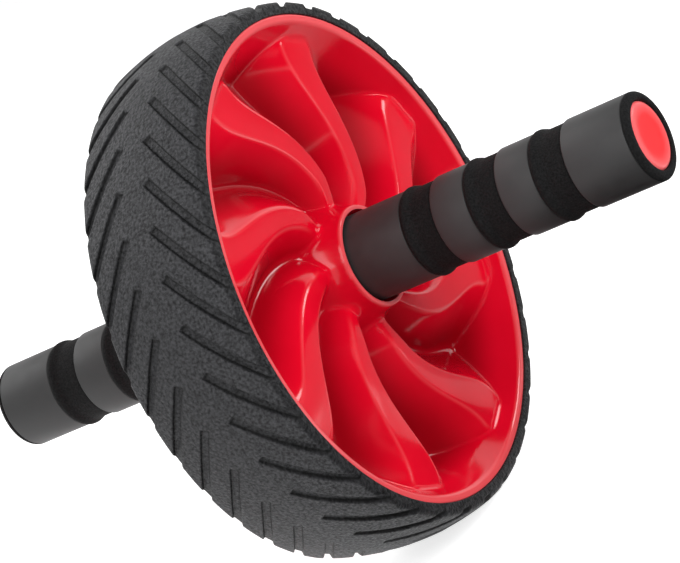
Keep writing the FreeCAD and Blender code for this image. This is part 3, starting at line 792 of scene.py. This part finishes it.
foam, nodes, links, shader = new_finish("black_foam_skin")
pores = grain_of(nodes, links, FOAM_WAVES)
links.new(toned(nodes, links, pores, FOAM_DARK, FOAM_LIGHT), shader.inputs["Base Color"])
links.new(ranged(nodes, links, pores, *FOAM_ROUGHNESS), shader.inputs["Roughness"])
shader.inputs["Specular IOR Level"].default_value = FOAM_SPECULAR
pressed(nodes, links, shader, pores, FOAM_RELIEF)
for side in SIDES:
    sleeve = turned(sleeve_section(side), TURNED_STEPS)
    for vertex in sleeve.verts:
        reach = math.hypot(vertex.co.x, vertex.co.z)
        if SEAT_RADIUS + SEAT_CLEAR < reach < BEAD_RADIUS and vertex.co.y < SLEEVE_END - RING_LENGTH:
            share = 1.0 - FOAM_UNEVEN / reach * (1.0 + noise.noise(vertex.co * FOAM_UNEVEN_WAVES))
            vertex.co.x *= share
            vertex.co.z *= share
    sleeve = faced(sleeve, side)
    grip = finished(sleeve, f"{side}_foam_grip", foam, "axle", "black_foam", f"{side}_foam_sleeve")


# Grip bands: smooth bands of dark grey rubber with a satin skin and softened edges, shrunk
# into their seats in the foam.
BAND_EDGE = 0.0005
BAND_EDGE_STEPS = 4
BAND_DARK = (0.030, 0.030, 0.0305)
BAND_LIGHT = (0.036, 0.036, 0.0365)
BAND_ROUGHNESS = (0.48, 0.54)
BAND_WAVES = 220.0
BAND_RELIEF = 0.00002

satin_grey, nodes, links, shader = new_finish("satin_grey_rubber")
skin = grain_of(nodes, links, BAND_WAVES)
links.new(toned(nodes, links, skin, BAND_DARK, BAND_LIGHT), shader.inputs["Base Color"])
links.new(ranged(nodes, links, skin, *BAND_ROUGHNESS), shader.inputs["Roughness"])
pressed(nodes, links, shader, skin, BAND_RELIEF)
for side in SIDES:
    for number, (start, stop) in enumerate(band_ends, 1):
        section = [(SEAT_RADIUS, start)]
        for step in range(BAND_EDGE_STEPS + 1):
            turn = math.pi / 2.0 * step / BAND_EDGE_STEPS
            section.append((
                BAND_RADIUS - BAND_EDGE * (1.0 - math.sin(turn)),
                start + BAND_EDGE * (1.0 - math.cos(turn)),
            ))
        middle = (start + stop) / 2.0
        section.append((BAND_RADIUS, middle))
        section += [(radius, 2.0 * middle - place) for radius, place in reversed(section[:-1])]
        band = faced(turned(section, TURNED_STEPS), side)
        node = f"{side}_grip_band_{number}"
        finished(band, f"{side}_band_{number}", satin_grey, "axle", "grey_band", node)


# End caps: round red mouldings with a soft raised edge that a painted sheen makes a little paler,
# pressed into the ends of the cores over the bolt heads.
cap_low, cap_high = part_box("left_end_cap")
CAP_RADIUS = cap_high.x
CAP_TOP = cap_high.y
CAP_BACK = cap_low.y
CAP_FLANGE = CORE_END
CAP_DISH = 0.0005
CAP_EDGE = 0.0100
CAP_FACE = ((0.0, 1.0), (0.4, 1.0), (0.7, 0.9), (0.86, 0.5), (0.95, 0.1), (1.0, 0.0))
CAP_ROUND = 0.75
CAP_STEPS = 8
PLUG_RADIUS = 0.0085
PLUG_TAPER = 0.0002
CAP_DARK = (0.66, 0.016, 0.020)
CAP_LIGHT = (0.72, 0.020, 0.025)
# The palest red below is a painted sheen for the cap's rounded edge.
CAP_PAINTED_SHEEN = (0.74, 0.110, 0.115, 1.0)
CAP_SHEEN_START = CAP_EDGE * 0.65
CAP_ROUGHNESS = (0.30, 0.36)
CAP_SPECULAR = 0.3
CAP_WAVES = 60.0

satin_red, nodes, links, shader = new_finish("satin_red_moulding")
flow = grain_of(nodes, links, CAP_WAVES)
place = nodes.new("ShaderNodeTexCoord")
level = nodes.new("ShaderNodeVectorMath")
level.operation = "MULTIPLY"
level.inputs[1].default_value = (1.0, 0.0, 1.0)
links.new(place.outputs["Object"], level.inputs[0])
reach = nodes.new("ShaderNodeVectorMath")
reach.operation = "LENGTH"
links.new(level.outputs["Vector"], reach.inputs[0])
# A painted sheen pales the red towards the cap's edge.
painted_highlight = spanned(nodes, links, reach.outputs["Value"], CAP_SHEEN_START, CAP_RADIUS, curve="SMOOTHSTEP")
red = toned(nodes, links, flow, CAP_DARK, CAP_LIGHT)
links.new(mixed(nodes, links, painted_highlight, red, CAP_PAINTED_SHEEN), shader.inputs["Base Color"])
links.new(ranged(nodes, links, flow, *CAP_ROUGHNESS), shader.inputs["Roughness"])
shader.inputs["Specular IOR Level"].default_value = CAP_SPECULAR
for side in SIDES:
    profile = [(CAP_EDGE * reach, CAP_TOP - CAP_DISH * sink) for reach, sink in CAP_FACE]
    for step in range(1, CAP_STEPS + 1):
        turn = math.pi / 2.0 * step / CAP_STEPS
        profile.append((
            CAP_EDGE + (CAP_RADIUS - CAP_EDGE) * math.sin(turn),
            CAP_TOP - (CAP_TOP - CAP_FLANGE) * CAP_ROUND * (1.0 - math.cos(turn)),
        ))
    profile += [
        (CAP_RADIUS, CAP_FLANGE),
        (PLUG_RADIUS, CAP_FLANGE),
        (PLUG_RADIUS - PLUG_TAPER, CAP_BACK),
        (0.0, CAP_BACK),
    ]
    cap = bmesh.new()
    corners = [cap.verts.new((-radius, place, 0.0)) for radius, place in profile]
    edges = [cap.edges.new(pair) for pair in zip(corners, corners[1:])]
    spun(cap, corners, edges, TURNED_STEPS)
    bmesh.ops.remove_doubles(cap, verts=cap.verts, dist=MERGE_GAP)
    finished(faced(cap, side), f"{side}_cap", satin_red, "axle", "red_cap", f"{side}_end_cap")


# Studio: a pale floor under the tyre, soft lamps round it and a white room. Dark flags to the
# right, overhead and on the floor, and two grey cards on the floor, show only in reflections
# and keep the glossy mouldings from washing out. Two of the lamps don't show in reflections.
FLOOR_SIZE = 4.0
FLOOR_COLOUR = (0.70, 0.70, 0.70, 1.0)
FLOOR_ROUGHNESS = 0.7
FLOOR_GLOW = 0.75
ROOM_FILL = 0.18
WHITE = (1.0, 1.0, 1.0, 1.0)
FLAG_GREY = 0.012
CARD_HEIGHT = cad_low.z + 0.001
FLAGS = (
    ("right_flag", (0.30, -1.30, 0.75), (4.0, 1.7), FLAG_GREY, True),
    ("top_flag", (0.40, -0.40, 1.70), (3.0, 2.4), FLAG_GREY, False),
    ("floor_flag", (-0.31, -0.53, CARD_HEIGHT), (0.77, 1.00), FLAG_GREY, False),
    ("pale_card", (0.1075, -0.09, CARD_HEIGHT), (0.065, 0.12), 0.60, False),
    ("grey_card", (0.67, -0.64, CARD_HEIGHT), (1.06, 1.22), 0.27, False),
)
LAMPS = (
    ("key_lamp", (-0.20, -1.00, 0.45), 0.5, 11.0, False),
    ("front_lamp", (-1.05, -0.30, 1.00), 0.9, 6.0, True),
    ("back_lamp", (0.10, 0.70, 1.10), 1.0, 5.5, True),
    ("edge_lamp", (0.52, -0.68, 0.28), 0.25, 1.5, True),
    ("left_lamp", (0.35, 1.05, 0.40), 0.6, 7.0, False),
)


def seen_directly(nodes, links):
    """1 for camera, glossy and transmission rays, and 0 for the light on the object."""
    path = nodes.new("ShaderNodeLightPath")
    seen = path.outputs["Is Camera Ray"]
    for ray in ("Is Glossy Ray", "Is Transmission Ray"):
        seen = figured(nodes, links, "MAXIMUM", seen, path.outputs[ray])
    return seen


def panel(name, finish, size, place, upright=False):
    """A flat panel of the studio, level or standing upright across Y."""
    mesh = bmesh.new()
    bmesh.ops.create_grid(mesh, x_segments=1, y_segments=1, size=0.5)
    bmesh.ops.scale(mesh, verts=mesh.verts, vec=(*size, 1.0))
    if upright:
        turn = Matrix.Rotation(math.pi / 2.0, 3, "X")
        bmesh.ops.rotate(mesh, verts=mesh.verts, cent=(0.0, 0.0, 0.0), matrix=turn)
    bmesh.ops.translate(mesh, verts=mesh.verts, vec=place)
    data = bpy.data.meshes.new(name)
    mesh.to_mesh(data)
    mesh.free()
    data.materials.append(finish)
    piece = bpy.data.objects.new(name, data)
    bpy.context.scene.collection.objects.link(piece)
    return piece


pale, nodes, links, shader = new_finish("pale_floor")
shader.inputs["Base Color"].default_value = FLOOR_COLOUR
shader.inputs["Roughness"].default_value = FLOOR_ROUGHNESS
shader.inputs["Emission Color"].default_value = WHITE
glow = figured(nodes, links, "MULTIPLY", seen_directly(nodes, links), FLOOR_GLOW)
links.new(glow, shader.inputs["Emission Strength"])
panel("floor", pale, (FLOOR_SIZE, FLOOR_SIZE), (0.0, 0.0, cad_low.z))

world = bpy.data.worlds.new("white_room")
bpy.context.scene.world = world
world.use_nodes = True
nodes = world.node_tree.nodes
links = world.node_tree.links
strength = spanned(nodes, links, seen_directly(nodes, links), 0.0, 1.0, ROOM_FILL, 1.0)
nodes["Background"].inputs["Color"].default_value = WHITE
links.new(strength, nodes["Background"].inputs["Strength"])

for name, place, size, grey, upright in FLAGS:
    velvet, _, _, shader = new_finish(name)
    shader.inputs["Base Color"].default_value = (grey, grey, grey, 1.0)
    shader.inputs["Roughness"].default_value = 1.0
    shader.inputs["Specular IOR Level"].default_value = 0.0
    flag = panel(name, velvet, size, place, upright)
    flag.visible_camera = False
    flag.visible_diffuse = False
    flag.visible_shadow = False

for name, place, size, power, reflected in LAMPS:
    lamp_data = bpy.data.lights.new(name, "AREA")
    lamp_data.shape = "SQUARE"
    lamp_data.size = size
    lamp_data.energy = power
    lamp = bpy.data.objects.new(name, lamp_data)
    lamp.location = place
    lamp.rotation_euler = Vector(place).to_track_quat("Z", "Y").to_euler()
    lamp.visible_glossy = reflected
    bpy.context.scene.collection.objects.link(lamp)


# Camera: a long lens from the right and a little above, rolled so that the handle rises
# across the picture.
CAMERA_PLACE = Vector((-0.8954, -0.5772, 0.2802))
CAMERA_AZIMUTH = math.radians(-57.53)
CAMERA_ELEVATION = math.radians(15.0)
CAMERA_ROLL = math.radians(-32.59)
CAMERA_LENS = 163.6
FILM_WIDTH = 36.0

camera_data = bpy.data.cameras.new("camera")
camera_data.sensor_width = FILM_WIDTH
camera_data.lens = CAMERA_LENS
camera = bpy.data.objects.new("camera", camera_data)
bpy.context.scene.collection.objects.link(camera)
level = math.cos(CAMERA_ELEVATION)
back = Vector((
    math.sin(CAMERA_AZIMUTH) * level,
    -math.cos(CAMERA_AZIMUTH) * level,
    math.sin(CAMERA_ELEVATION),
))
turn = back.to_track_quat("Z", "Y") @ Quaternion((0.0, 0.0, 1.0), CAMERA_ROLL)
camera.matrix_world = Matrix.Translation(CAMERA_PLACE) @ turn.to_matrix().to_4x4()
bpy.context.scene.camera = camera
bpy.context.scene.view_settings.view_transform = "Standard"
